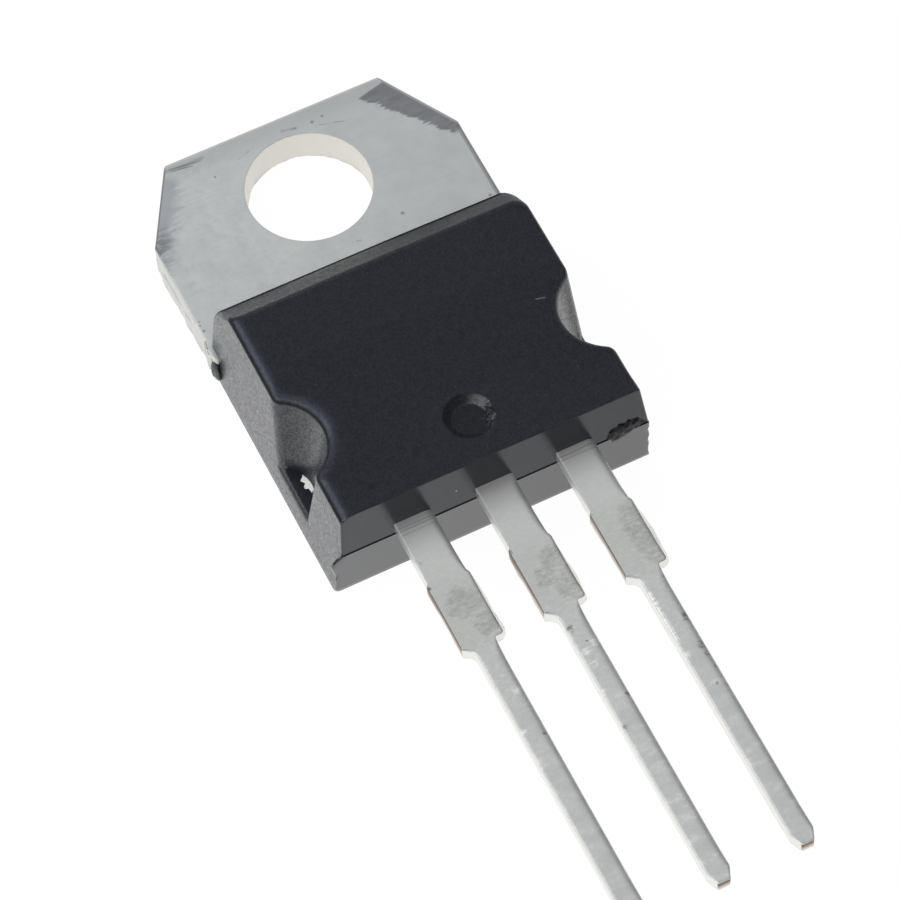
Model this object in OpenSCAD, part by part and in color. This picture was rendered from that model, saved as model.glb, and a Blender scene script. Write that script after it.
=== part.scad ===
// Voltage regulator with three leads, in a flat power package with a drilled metal tab.
//
// Lengths are in millimetres. The origin is the centre of the mounting hole, on the back face
// that seats on a heat sink. +Z points out of the front, +Y to the top edge of the tab, and the
// leads run along -Y. Seen from the front with the leads down, the left lead is the input, the
// centre lead is the ground and the right lead is the output.

/* [Tab] */
// Width of the tab
tab_w = 10; // [9.7:0.1:10.6]
// Thickness of the tab, and of the plate that goes on inside the plastic
tab_t = 1.2; // [0.9:0.05:1.4]
// Bore of the mounting hole
hole_d = 3.85; // [3.5:0.05:4.1]
// Hole centre to the top edge of the tab
hole_to_top = 2.65; // [2.4:0.05:3.4]
// Width of each corner cut, measured along the top edge
corner_run = 1.45; // [0.5:0.05:2]
// Length of each corner cut, measured down the tab
corner_drop = 2.55; // [1:0.05:3]
// Rounding of the tab's stamped corners
tab_corner_r = 0.15; // [0.05:0.05:0.4]

/* [Plate inside the plastic] */
// Plastic beside the plate, measured in from each side of the tab
plate_margin = 0.5; // [0.4:0.05:1]
// Plastic between the end of the plate and the face with the leads
plate_cover = 1.68; // [1.4:0.02:2]
// How far the tab keeps its full width under the plastic
shoulder_inset = 0.4; // [0.1:0.05:0.5]
// Width of the neck that joins the centre lead to the plate
neck_w = 1.7; // [1.2:0.1:2]
// Slope of the neck where it climbs from the plate to the lead
neck_angle = 60; // [45:5:75]
// Width of the anchor groove across the plate's front
groove_w = 0.3; // [0.1:0.05:0.5]
// Depth of the anchor groove
groove_depth = 0.15; // [0.05:0.05:0.3]
// Distance from the plastic's wall to the anchor groove
groove_inset = 0.7; // [0.6:0.05:0.9]

/* [Moulded body] */
// How far the body's foot stays in from each side of the tab
side_step = 0.01; // [0:0.01:0.1]
// Height of the body above the leads
cover_h = 1.3; // [1.1:0.05:1.6]
// Hole centre to the wall where the body meets the tab
body_near = 3.78; // [3.5:0.02:4.1]
// Length of the body, from that wall to the face with the leads
body_length = 8.78; // [8.6:0.02:9.2]
// How far the plastic's back stays short of the metal's seating face
back_recess = 0.05; // [0.02:0.01:0.1]
// Draft of the two side walls, in degrees
side_draft = 4.5; // [3:0.5:6]
// Draft of the upper wall on the lead side, in degrees
end_draft = 5; // [3:0.5:7]
// Draft of the lower wall on the lead side, which leans in under the leads, in degrees
under_draft = 8; // [4:0.5:9]
// Draft of the wall on the tab side, in degrees
tab_wall_draft = 4; // [2:0.5:6]
// Height of the bevel between the tab side wall and the top face
bevel_h = 1.2; // [0.8:0.05:1.4]
// Run of that bevel along the body
bevel_run = 1.15; // [0.8:0.05:1.4]
// Cut across the two upright corners on the tab side
corner_cut = 0.2; // [0.1:0.02:0.3]
// Rounding of the long upper edges
edge_r = 0.25; // [0.1:0.05:0.4]
// Step where the lower half of the mould stands proud at the lead side
parting_step = 0.04; // [0.02:0.01:0.08]

/* [Side notches] */
// Radius of each half-round side notch, at the top face
notch_r = 1.5; // [1.2:0.05:1.7]
// How far each notch reaches into the top face
notch_depth = 0.9; // [0.6:0.05:1]
// Distance from the face with the leads to the middle of the notches
notch_from_end = 3.2; // [3:0.05:3.8]
// Taper of the notch wall, in degrees
notch_taper = 10; // [6:0.5:12]
// Bevel on the notch's upper edge
notch_edge = 0.14; // [0.04:0.02:0.2]

/* [Ejector dimple] */
// Diameter of the round dimple in the top face
dimple_d = 1.5; // [1:0.1:1.8]
// Diameter of the dimple's floor
dimple_floor_d = 1.26; // [0.8:0.02:1.5]
// Depth of the dimple
dimple_depth = 0.35; // [0.1:0.05:0.5]
// Distance from the face with the leads to the dimple's centre
dimple_from_end = 1.55; // [1.3:0.05:1.8]

/* [Gate stub] */
// Distance from the output lead to the broken gate stub
gate_gap = 0.38; // [0.3:0.02:0.4]
// Length of the gate stub along the body
gate_w = 1.2; // [0.6:0.1:1.2]
// How far the gate stub stands out
gate_reach = 0.1; // [0.06:0.02:0.2]
// Thickness of the gate stub
gate_t = 0.4; // [0.2:0.05:0.5]

/* [Leads] */
// Distance between the centres of neighbouring leads
pitch = 2.54; // [2.4:0.02:2.6]
// Thickness of the leads
lead_t = 0.45; // [0.35:0.05:0.6]
// Height of the leads' lower face above the back of the tab
lead_z = 2.55; // [2.4:0.05:2.65]
// Width of a lead where it leaves the body
root_w = 1.18; // [1.05:0.01:1.2]
// Width over the cut stubs of the tie bar
stub_w = 1.3; // [1.22:0.02:1.4]
// Width of the long narrow part
lead_w = 0.7; // [0.6:0.02:0.8]
// Width of the trimmed tip
tip_w = 0.38; // [0.3:0.02:0.5]
// Distance from the body to the start of the tie bar stubs
root_length = 2.12; // [1.8:0.02:2.4]
// Length of the tie bar stubs
stub_length = 2.3; // [2:0.05:2.5]
// Distance from the body to the tips
lead_length = 13.84; // [13:0.02:14.6]
// Length of the tapered tip
tip_length = 0.35; // [0.2:0.05:0.8]
// Radius of the hollow shoulder on each lead's left side
shoulder_r = 0.28; // [0.1:0.02:0.3]
// Radius of the tight shoulder on each lead's right side
tight_r = 0.06; // [0.02:0.01:0.1]

/* [Bonding pads] */
// Width of the pads inside the body
pad_w = 2.2; // [1.8:0.05:2.4]
// Length of the pads
pad_length = 1.6; // [1.4:0.05:1.8]
// Plastic between the pads and the face with the leads
pad_cover = 0.75; // [0.6:0.05:1]
// Diameter of the lock hole through each pad
lock_d = 0.5; // [0.3:0.05:0.6]

/* [Chip] */
// Width of the chip, across the plate
die_w = 2.6; // [2:0.1:3]
// Length of the chip, along the plate
die_length = 2.4; // [1.8:0.1:2.8]
// Thickness of the chip
die_t = 0.3; // [0.2:0.05:0.4]
// Thickness of the solder under the chip
solder_t = 0.06; // [0.04:0.01:0.1]
// Width of the solder showing round the chip
solder_rim = 0.15; // [0.05:0.05:0.25]
// Distance from the end of the plate to the chip's centre
die_inset = 3.2; // [2.9:0.1:3.6]

/* [Bond wires] */
// Diameter of the bond wires
wire_d = 0.2; // [0.1:0.02:0.3]
// Diameter of the welded foot at each end of a wire
foot_d = 0.42; // [0.34:0.02:0.5]
// Thickness of the welded feet
foot_t = 0.12; // [0.08:0.02:0.2]
// Radius of the bends in a wire
wire_bend_r = 0.22; // [0.18:0.02:0.24]
// Height of a wire's run above the higher of its two feet
wire_rise = 0.4; // [0.36:0.02:0.5]
// Distance of the wires' feet from the chip's edges
foot_inset = 0.4; // [0.3:0.05:0.5]
// Length of the ground wire, from the chip to the plate
ground_run = 0.95; // [0.8:0.05:1]

/* [Hidden] */
$fn = 48;
// Overshoot of a cutting solid past the face that it cuts
past = 1;
// Points on a drawn quarter turn
arc_steps = 6;
// Torn edge of the gate stub, as shares of its length and of its reach
torn_edge = [[0, -1], [1, -1], [1, 0], [0.8, 0.6], [0.55, 1], [0.3, 0.5], [0.15, 0.8]];

plate_w = tab_w - 2 * plate_margin;
top_edge_w = tab_w - 2 * corner_run;
body_w = tab_w - 2 * side_step;
body_h = lead_z + lead_t + cover_h;
body_far = body_near + body_length;
part_z = lead_z;
wall_z = body_h - bevel_h;
top_near = body_near + (wall_z - tab_t) * tan(tab_wall_draft) + bevel_run;
top_far = body_far - (body_h - part_z) * tan(end_draft);
under_far = body_far + parting_step - (part_z - back_recess) * tan(under_draft);
top_half_w = half_width(body_h);
notch_x = top_half_w + notch_r - notch_depth;
notch_y = body_far - notch_from_end;
notch_floor_r = notch_r - (body_h - tab_t) * tan(notch_taper);
dimple_y = body_far - dimple_from_end;
plate_end = body_far - plate_cover;
tab_shoulder = body_near + shoulder_inset;
stub_y = body_far + root_length;
shoulder_y = stub_y + stub_length;
tip_y = body_far + lead_length;
pad_y = body_far - pad_cover;
die_y = plate_end - die_inset;
die_top_z = tab_t + solder_t + die_t;
lead_top_z = lead_z + lead_t;
foot_x = die_w / 2 - foot_inset;
foot_y = die_y + die_length / 2 - foot_inset;
pad_foot_y = pad_y - pad_length + foot_inset;

// Half the body's width at a height, from the draft of the side walls
function half_width(z) = body_w / 2 - (z - back_recess) * tan(side_draft);

// Points of an arc about a centre, from one angle to another
function arc(centre, r, from, to, steps = arc_steps) =
    [for (i = [0:steps]) centre + r * [cos(from + (to - from) * i / steps), sin(from + (to - from) * i / steps)]];

// Direction of a path at one of its points, as the mean of the legs on both sides
function unit(v) = v / norm(v);
function leg(path, i) = unit(path[min(i + 1, len(path) - 1)] - path[min(i, len(path) - 2)]);
function mitre(path, i) = unit(leg(path, max(i - 1, 0)) + leg(path, i));

// Outline of a strip of even thickness whose middle line is the path
function strip(path, t) =
    let (half = [for (i = [0:len(path) - 1])
                 let (m = mitre(path, i)) t / 2 / (m * leg(path, i)) * [-m[1], m[0]]])
    concat([for (i = [0:len(path) - 1]) path[i] + half[i]],
           [for (i = [len(path) - 1:-1:0]) path[i] - half[i]]);

// Solid of a profile drawn in the plane of Y and Z, as long as w across X
module across_x(w) {
    rotate([90, 0, 90]) translate([0, 0, -w / 2]) linear_extrude(w) children();
}

// Points of a corner with a small round: the arc that joins the legs from b to a and from b to c
function round_corner(a, b, c) =
    let (u = unit(a - b), v = unit(c - b), half = acos(u * v) / 2,
         centre = b + unit(u + v) * tab_corner_r / sin(half),
         start = b + u * tab_corner_r / tan(half) - centre,
         from = atan2(start[1], start[0]))
    arc(centre, tab_corner_r, from, from - (180 - 2 * half));

// Outline of the tab and of the plate that goes on under the plastic
module tab_outline() {
    top = [top_edge_w / 2, hole_to_top];
    side = [tab_w / 2, hole_to_top - corner_drop];
    right = concat(round_corner([0, hole_to_top], top, side), round_corner(top, side, [tab_w / 2, -tab_shoulder]),
        [[tab_w / 2, -tab_shoulder], [plate_w / 2, -tab_shoulder], [plate_w / 2, -plate_end]]);
    polygon(concat(right, [for (i = [len(right) - 1:-1:0]) [-right[i][0], right[i][1]]]));
}

// Outline of one lead from a start inside the body to its tip, with its own centre at X = 0.
// The right side has a tight shoulder and the left side a hollow one, as the punch leaves them.
module lead_outline(start) {
    polygon(concat(
        [[root_w / 2, -start], [root_w / 2, -stub_y], [stub_w / 2, -stub_y - (stub_w - root_w) / 2],
         [stub_w / 2, -shoulder_y]],
        arc([lead_w / 2 + tight_r, -shoulder_y - tight_r], tight_r, 90, 180),
        [[lead_w / 2, -tip_y + tip_length], [tip_w / 2, -tip_y], [-tip_w / 2, -tip_y],
         [-lead_w / 2, -tip_y + tip_length]],
        arc([-lead_w / 2 - shoulder_r, -shoulder_y - shoulder_r], shoulder_r, 0, 90),
        [[-stub_w / 2, -shoulder_y], [-stub_w / 2, -stub_y - (stub_w - root_w) / 2],
         [-root_w / 2, -stub_y], [-root_w / 2, -start]]));
}

// The tab, the plate and the centre lead are one stamped and bent piece of copper
module heat_sink() color("silver") {
    climb = lead_z + lead_t / 2 - (tab_t - lead_t / 2);
    foot = plate_end + lead_t;
    head = foot + climb / tan(neck_angle);
    difference() {
        linear_extrude(tab_t) tab_outline();
        translate([0, 0, -past]) cylinder(h = tab_t + 2 * past, d = hole_d);
        translate([0, -body_near - groove_inset, tab_t]) rotate([0, 90, 0])
            translate([0, 0, -tab_w]) linear_extrude(2 * tab_w)
                polygon([[0, 0], [groove_depth, -groove_w / 2], [0, -groove_w]]);
    }
    intersection() {
        across_x(2 * pitch) polygon(strip([[-plate_end + lead_t, tab_t - lead_t / 2], [-foot, tab_t - lead_t / 2],
            [-head, lead_z + lead_t / 2], [-tip_y - past, lead_z + lead_t / 2]], lead_t));
        union() {
            linear_extrude(body_h) lead_outline(plate_end);
            translate([-neck_w / 2, -pad_y, 0]) cube([neck_w, pad_y - plate_end + lead_t, body_h]);
        }
    }
}

// A side lead: its bonding pad inside the body and the strip that leaves it
module side_lead() {
    translate([0, 0, lead_z]) difference() {
        union() {
            linear_extrude(lead_t) lead_outline(pad_y - pad_length / 2);
            translate([-pad_w / 2, -pad_y, 0]) cube([pad_w, pad_length, lead_t]);
        }
        translate([0, -pad_y + foot_inset, -past]) cylinder(h = lead_t + 2 * past, d = lock_d);
    }
}

module input_lead() color("silver") translate([-pitch, 0, 0]) side_lead();

module output_lead() color("silver") translate([pitch, 0, 0]) side_lead();

// Moulded block before anything is taken out of it: a side profile and an end profile crossed,
// with the two upright corners on the tab side cut across
module body_block() {
    intersection() {
        across_x(2 * body_w) polygon([
            [-body_near, back_recess], [-body_near, tab_t],
            [-body_near - (wall_z - tab_t) * tan(tab_wall_draft), wall_z],
            [-top_near, body_h], [-top_far, body_h], [-body_far, part_z],
            [-body_far - parting_step, part_z], [-under_far, back_recess]]);
        rotate([90, 0, 0]) linear_extrude(2 * body_far) end_profile();
        for_corner(1) corner_plane();
        for_corner(-1) corner_plane();
    }
}

// End view of the body: drafted sides that round over into the top face
module end_profile() {
    turn = 90 - side_draft;
    centre = [half_width(body_h) - edge_r * tan(turn / 2), body_h - edge_r];
    right = arc(centre, edge_r, side_draft, 90);
    left = arc([-centre[0], centre[1]], edge_r, 90, 180 - side_draft);
    polygon(concat([[-body_w / 2, back_recess], [body_w / 2, back_recess]], right, left));
}

// Place for one of the two upright corners on the tab side, with X pointing out of the corner
module for_corner(side) {
    rotate([0, 0, side > 0 ? 45 : 135]) children();
}

// Everything behind the plane that cuts an upright corner and leans with both walls
module corner_plane() {
    reach_foot = (half_width(back_recess) - body_near - corner_cut) / sqrt(2);
    lean = (tan(side_draft) + tan(tab_wall_draft)) / sqrt(2);
    rotate([90, 0, 0]) translate([0, 0, -2 * body_far]) linear_extrude(4 * body_far) polygon([
        [-2 * body_far, 0], [reach_foot, 0], [reach_foot - body_h * lean, body_h], [-2 * body_far, body_h]]);
}

// Half-round notch in a side wall: a cone that narrows down to the plate, bevelled at the top
module side_notch() {
    translate([notch_x, -notch_y, tab_t]) cylinder(h = body_h - tab_t, r1 = notch_floor_r, r2 = notch_r);
    translate([notch_x, -notch_y, body_h - notch_edge])
        cylinder(h = 2 * notch_edge, r1 = notch_r - notch_edge * tan(notch_taper), r2 = notch_r + 2 * notch_edge);
}

// Round mark that the ejector pin leaves in the top face
module dimple() {
    flare = (dimple_d - dimple_floor_d) / 2 / dimple_depth;
    translate([0, -dimple_y, body_h - dimple_depth])
        cylinder(h = dimple_depth + past, r1 = dimple_floor_d / 2, r2 = dimple_d / 2 + past * flare);
}

// Torn stub of plastic that stays where the mould was filled, just above the parting line
module gate_stub() {
    translate([pitch + root_w / 2 + gate_gap, -body_far, part_z])
        linear_extrude(gate_t) mirror([0, 1]) polygon([for (p = torn_edge) [p[0] * gate_w, p[1] * gate_reach]]);
}

module mould_body() color([0.1, 0.11, 0.13]) difference() {
    union() {
        body_block();
        gate_stub();
    }
    for (side = [0, 1]) mirror([side, 0, 0]) side_notch();
    dimple();
    heat_sink();
    input_lead();
    output_lead();
    silicon_die();
    die_solder();
    input_wire();
    output_wire();
    ground_wire();
}

module silicon_die() color("slategray")
    translate([-die_w / 2, -die_y - die_length / 2, tab_t + solder_t]) cube([die_w, die_length, die_t]);

module die_solder() color("lightgray")
    translate([-die_w / 2 - solder_rim, -die_y - die_length / 2 - solder_rim, tab_t])
        cube([die_w + 2 * solder_rim, die_length + 2 * solder_rim, solder_t]);

// A bond wire: a foot and a post at each end, and a level run between two quarter bends
module bond_wire(from, to) {
    run = norm([to[0] - from[0], to[1] - from[1]]);
    top = max(from[2], to[2]) + foot_t + wire_rise;
    translate([from[0], from[1], 0]) rotate([0, 0, atan2(to[1] - from[1], to[0] - from[0])]) {
        wire_post(from[2], top);
        translate([run, 0, 0]) rotate([0, 0, 180]) wire_post(to[2], top);
        translate([wire_bend_r, 0, top]) rotate([0, 90, 0]) cylinder(h = run - 2 * wire_bend_r, d = wire_d);
    }
}

// Foot, post and quarter bend of a wire that leaves towards +X at the top
module wire_post(foot_z, top) {
    translate([0, 0, foot_z]) cylinder(h = foot_t, d = foot_d);
    translate([0, 0, foot_z + foot_t / 2]) cylinder(h = top - wire_bend_r - foot_z - foot_t / 2, d = wire_d);
    translate([wire_bend_r, 0, top - wire_bend_r]) rotate([90, 0, 0]) rotate([0, 0, 90])
        rotate_extrude(angle = 90) translate([wire_bend_r, 0]) circle(d = wire_d);
}

module input_wire() color("gainsboro")
    bond_wire([-foot_x, -foot_y, die_top_z], [-pitch, -pad_foot_y, lead_top_z]);

module output_wire() color("gainsboro")
    bond_wire([foot_x, -foot_y, die_top_z], [pitch, -pad_foot_y, lead_top_z]);

module ground_wire() color("gainsboro")
    bond_wire([0, -foot_y, die_top_z], [0, -foot_y - ground_run, tab_t]);

heat_sink();
input_lead();
output_lead();
mould_body();
silicon_die();
die_solder();
input_wire();
output_wire();
ground_wire();
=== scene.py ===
# %% [markdown]
# # Dressing a voltage regulator
#
# A voltage regulator in a power package is three materials: a copper strip that has been
# punched, plated with tin and bent; black epoxy moulded round it; and, hidden inside, a chip with
# its solder and bond wires. The CAD frame already holds every piece at its real size. Here the
# pieces that show get the small shapes that punching and moulding leave, and every piece gets its
# finish. The frame is loaded first, so that all later lengths agree with it.

import math

import bpy
import numpy as np
from mathutils import Matrix, Vector
from mathutils.geometry import tessellate_polygon


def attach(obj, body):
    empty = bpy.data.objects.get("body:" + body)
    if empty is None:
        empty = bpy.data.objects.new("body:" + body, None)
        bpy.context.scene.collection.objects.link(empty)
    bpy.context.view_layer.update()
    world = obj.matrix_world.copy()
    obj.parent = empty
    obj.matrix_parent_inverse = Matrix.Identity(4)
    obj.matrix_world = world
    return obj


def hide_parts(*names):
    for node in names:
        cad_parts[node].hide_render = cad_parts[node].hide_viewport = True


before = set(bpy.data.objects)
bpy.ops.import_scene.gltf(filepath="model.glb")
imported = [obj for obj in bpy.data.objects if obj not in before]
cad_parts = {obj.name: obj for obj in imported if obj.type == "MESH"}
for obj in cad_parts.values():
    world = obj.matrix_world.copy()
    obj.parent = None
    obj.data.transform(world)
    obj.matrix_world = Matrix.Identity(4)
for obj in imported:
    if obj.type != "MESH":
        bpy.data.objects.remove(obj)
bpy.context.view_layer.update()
MM = 0.001
print("nodes:", ", ".join(sorted(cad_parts)))

# %% [markdown]
# ## The camera
#
# The part lies on its back, seen from its lead side, from the left and well above. A long lens a
# hand's breadth away gives the slight narrowing towards the tab. A camera is placed by three
# directions: where it looks, what is level, and what is up. The picture is also turned a few
# degrees about the line of sight, so the level direction is tilted by that roll.

# %% Camera
CAMERA_AT = Vector((-25.877, -70.234, 112.392))
AIM = Vector((-0.439, -10.525, 2.0))
ROLL = math.radians(3.499)
LENS, SENSOR = 179.508, 36.0

look = (AIM - CAMERA_AT).normalized()
level = look.cross(Vector((0, 0, 1))).normalized()
lift = level.cross(look)
right = level * math.cos(ROLL) - lift * math.sin(ROLL)
up = lift * math.cos(ROLL) + level * math.sin(ROLL)
turn = Matrix((right, up, -look)).transposed().to_4x4()
camera = bpy.data.objects.new("camera", bpy.data.cameras.new("camera"))
camera.matrix_world = Matrix.Translation(CAMERA_AT * MM) @ turn
camera.data.lens, camera.data.sensor_width = LENS, SENSOR
camera.data.clip_start, camera.data.clip_end = 0.01, 5
bpy.context.scene.collection.objects.link(camera)
bpy.context.scene.camera = camera
print("camera distance in mm:", round((AIM - CAMERA_AT).length, 1))

# %% [markdown]
# ## Meshes from arrays
#
# Every new surface below is worked out as numpy arrays of points, in millimetres, and then handed
# to Blender in one go. A closed shell must have its faces pointing outwards. That can be measured:
# each face makes a thin pyramid with the origin, and the signed volumes of the pyramids add up to
# the volume of the shell, which comes out negative when the shell is inside out.

# %% From arrays to a mesh
SHARP_ANGLE = math.radians(32)


def unit(v):
    """Vectors scaled to length one."""
    return v / np.linalg.norm(v, axis=-1, keepdims=True)


def shell_volume(points, faces):
    """Volume of a closed shell: its faces are split into triangles that fan out from their first
    corner, and the volume is a sixth of the sum of a . (b x c) over the triangles."""
    triangles = np.vstack([f[:, [0, k, k + 1]] for f in faces for k in range(1, f.shape[1] - 1)])
    a, b, c = (points[triangles[:, k]] for k in range(3))
    return float(np.einsum("ij,ij->i", a, np.cross(b, c)).sum() / 6)


def facing_out(points, faces):
    """The faces of a closed shell, all turned round if the shell is inside out."""
    return faces if shell_volume(points, faces) > 0 else [f[:, ::-1] for f in faces]


def make_piece(name, points, faces, marks):
    """Makes an object from points in mm and a list of face arrays, each of shape (faces, corners).
    marks holds one number per point under each attribute name."""
    volume = shell_volume(points, faces)
    assert volume > 0, name
    mesh = bpy.data.meshes.new(name)
    mesh.from_pydata((points * MM).tolist(), [], [face for f in faces for face in f.tolist()])
    for mark, values in marks.items():
        layer = mesh.attributes.new(mark, "FLOAT", "POINT")
        layer.data.foreach_set("value", np.asarray(values, float).ravel())
    mesh.polygons.foreach_set("use_smooth", [True] * len(mesh.polygons))
    mesh.set_sharp_from_angle(angle=SHARP_ANGLE)
    piece = bpy.data.objects.new(name, mesh)
    bpy.context.scene.collection.objects.link(piece)
    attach(piece, "root")
    print(f"{name}: {len(points)} points, {sum(map(len, faces))} faces, {volume:.2f} mm3")
    return piece


print("make_piece() is ready")

# %% Bands, caps and drift
SLIVER = 1e-9


def bands(rings, count, first=0):
    """Quads between neighbouring rings of count points each, wound to face outwards when the
    rings run anticlockwise and climb."""
    i, j = np.meshgrid(np.arange(rings - 1), np.arange(count), indexing="ij")
    here, there = first + i * count, first + (i + 1) * count
    k = (j + 1) % count
    return np.stack([here + j, here + k, there + k, there + j], -1).reshape(-1, 4)


def cap(points, loops, facing):
    """Triangles that fill the flat area inside the first loop of point numbers and outside the
    others; facing is +1 for a cap seen from above and -1 for one seen from below."""
    flat = [[Vector(p) for p in points[loop].tolist()] for loop in loops]
    tri = np.concatenate(loops)[np.array(tessellate_polygon(flat))]
    a, b, c = (points[tri[:, k], :2] for k in range(3))
    turn = (b - a)[:, 0] * (c - a)[:, 1] - (b - a)[:, 1] * (c - a)[:, 0]
    real = np.abs(turn) > SLIVER
    tri, turn = tri[real], turn[real]
    flip = turn * facing < 0
    tri[flip] = tri[flip][:, ::-1]
    return tri


def drift(count, knots, seed):
    """A closed run of smooth random numbers between -1 and 1: random knots joined by a line."""
    values = np.random.default_rng(seed).uniform(-1, 1, knots)
    closed = np.append(values, values[0])
    return np.interp(np.arange(count) / count * knots, np.arange(knots + 1), closed)


print("bands(), cap() and drift() are ready")

# %% [markdown]
# ## What a punch leaves
#
# The tab and the leads are punched from strip. A punched edge is never a plain box edge: the side
# where the punch enters is pulled round, the wall below is burnished and then torn, and the torn
# foot is ragged. So each flat piece is built as a stack of closed rings that follow its outline.
# From ring to ring the outline moves inwards and upwards along a quarter of an ellipse, which makes
# the pulled-in edge, and a little random drift is added to the wall. The flat top and bottom are
# filled last, inside one more ring, so that the shading of the round doesn't bleed over the flat.

# %% Outline
ARC_POINTS, STRAIGHT = 7, 9.0


def outline(corners, spacing):
    """Closed outline through corners (x, y, radius): each corner is an arc that touches both of its
    legs, and the straight runs between the arcs are divided evenly. Gives the points and, for each
    point, the radius of its corner (STRAIGHT on the straight runs)."""
    table = np.array(corners, float)
    p, r = table[:, :2], table[:, 2:]
    back, on = unit(np.roll(p, 1, 0) - p), unit(np.roll(p, -1, 0) - p)
    half = np.arccos((back * on).sum(1, keepdims=True)) / 2
    start, end = p + back * r / np.tan(half), p + on * r / np.tan(half)
    centre = p + unit(back + on) * r / np.sin(half)
    sweep = math.pi - 2 * half[:, None]
    t = np.linspace(0, 1, ARC_POINTS)[None, :, None]
    arcs = centre[:, None] + (np.sin((1 - t) * sweep) * (start - centre)[:, None]
                              + np.sin(t * sweep) * (end - centre)[:, None]) / np.sin(sweep)
    points, bend = [], []
    for i in range(len(p)):
        a, b = end[i], start[(i + 1) % len(p)]
        steps = max(int(np.linalg.norm(b - a) / spacing), 1)
        run = a + (b - a) * (np.arange(1, steps) / steps)[:, None]
        points += [arcs[i], run]
        bend += [np.full(ARC_POINTS, r[i, 0]), np.full(len(run), STRAIGHT)]
    return np.vstack(points), np.concatenate(bend)


def outward(loop):
    """Unit normals of a closed loop that runs anticlockwise: its direction turned to the right."""
    along = unit(np.roll(loop, -1, 0) - np.roll(loop, 1, 0))
    return np.stack([along[:, 1], -along[:, 0]], -1)


def calm(values, limit, rounds=12):
    """Values smoothed along a closed loop, and kept under a limit at every point."""
    for _ in range(rounds):
        values = np.minimum((values + np.roll(values, 1) + np.roll(values, -1)) / 3, limit)
    return values


def all_round(loop, *values):
    """Each value repeated for every point of a loop."""
    return [np.full(len(loop), value) for value in values]


SQUARE = [(1, 1, 0.2), (-1, 1, 0.2), (-1, -1, 0.2), (1, -1, 0.2)]
print("points round a test square:", len(outline(SQUARE, 0.1)[0]))

# %% Stamped solid
FOOT, FLAT_IN = 0.03, 0.03


def edge_rings(roll, foot, low, high):
    """The closed rings of a punched edge from the back to the front, each as (how far it is set
    in, its height, how torn it is): two on the flat back, two round the foot, four up the wall,
    six along a quarter ellipse half as deep as it is wide, and one on the flat front."""
    deep, still = roll * 0.5, 0 * roll
    rings = [(foot + FLAT_IN, low + still, 0), (foot, low + still, 0.6),
             (foot * 0.3, low + foot * 0.3, 1), (still, low + foot, 1)]
    rings += [(still, low + foot + (high - deep - low - foot) * share, 1)
              for share in (0.25, 0.5, 0.68, 0.85)]
    rings += [(roll * (1 - math.cos(a)), high - deep * (1 - math.sin(a)),
               max(1 - 1.6 * math.sin(a), 0)) for a in np.linspace(0, math.pi / 2, 6)]
    return rings + [(roll + FLAT_IN, high + still, 0)]


def stamped(loops, low, high, seed):
    """Rings of a flat stamped piece between two heights. loops holds, for the outline and for each
    hole, (points, bend, width of the pulled-in edge, raggedness, how far the wall leans out at its
    foot). Each ring is the outline moved along its normals, with random drift on the wall. Gives
    points, faces and the mark that is 1 on the torn wall and 0 on the flats."""
    points, faces, cut, tops, bottoms = [], [], [], [], []
    for n, (loop, bend, roll, ragged, lean) in enumerate(loops):
        normal, count = outward(loop), len(loop)
        roll = calm(np.minimum(roll, 0.8 * bend), 0.8 * bend)
        rings = edge_rings(roll, np.minimum(FOOT, 0.5 * bend), low, high)
        first = sum(len(p) for p in points)
        for k, (inset, z, torn) in enumerate(rings):
            shake = ragged * (drift(count, count // 3, seed + 40 * n + k // 2) * 0.6
                              + drift(count, count // 9 + 1, seed + 40 * n + 20) * 0.7)
            fade = 1 if 1 <= k <= 5 else (0.35 if k in (6, 7) else 0)
            leaning = lean * np.clip((high - roll * 0.5 - z) / (high - low), 0, 1)
            moved = loop - normal * (inset - shake * fade - leaning)[:, None]
            points.append(np.column_stack([moved, z]))
            cut.append(np.full(count, torn))
        faces.append(bands(len(rings), count, first))
        bottoms.append(np.arange(first, first + count))
        tops.append(np.arange(first + (len(rings) - 1) * count, first + len(rings) * count))
    points = np.vstack(points)
    faces += [cap(points, tops, 1), cap(points, bottoms, -1)]
    return points, faces, np.concatenate(cut)


def joined(parts):
    """Several (points, faces, mark) shells as one, with the face numbers moved on."""
    shift = np.cumsum([0] + [len(p[0]) for p in parts])
    faces = [f + s for p, s in zip(parts, shift) for f in p[1]]
    return np.vstack([p[0] for p in parts]), faces, np.concatenate([p[2] for p in parts])


print("rings in a punched edge:", len(edge_rings(np.full(1, 0.1), np.full(1, FOOT), 0.0, 1.0)))

# %% [markdown]
# ## The leads
#
# All three leads come from one punched comb. Between the body and the long narrow part each one is
# wider, where the tie bar that joined them was sheared off: its two stubs are left. The punch
# enters from the front, so the right edges are pulled round most. The tip is trimmed to a short
# taper. One outline serves for all three leads, moved across by the pitch.

# %% Lead outline
PITCH = 2.54
LEAD_LOW, LEAD_TOP = 2.55, 3.0
ROOT_W, STUB_W, LEAD_W, TIP_W = 1.18, 1.30, 0.70, 0.36
STUB_Y, SHOULDER_Y, TAPER_Y, TIP_Y = -14.68, -16.98, -26.02, -26.4
HOLLOW_R, HOLLOW_DROP = 0.3, 0.2
PULLED_ROOT, PULLED_STUB, PULLED_NARROW = 0.28, 0.16, 0.26
LEFT_ROOT, LEFT_STUB, LEFT_NARROW = 0.07, 0.03, 0.13
PULLED_ENDS = 0.03
LEAD_RAGGED, STUB_LEAN = 0.012, 0.19


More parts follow.
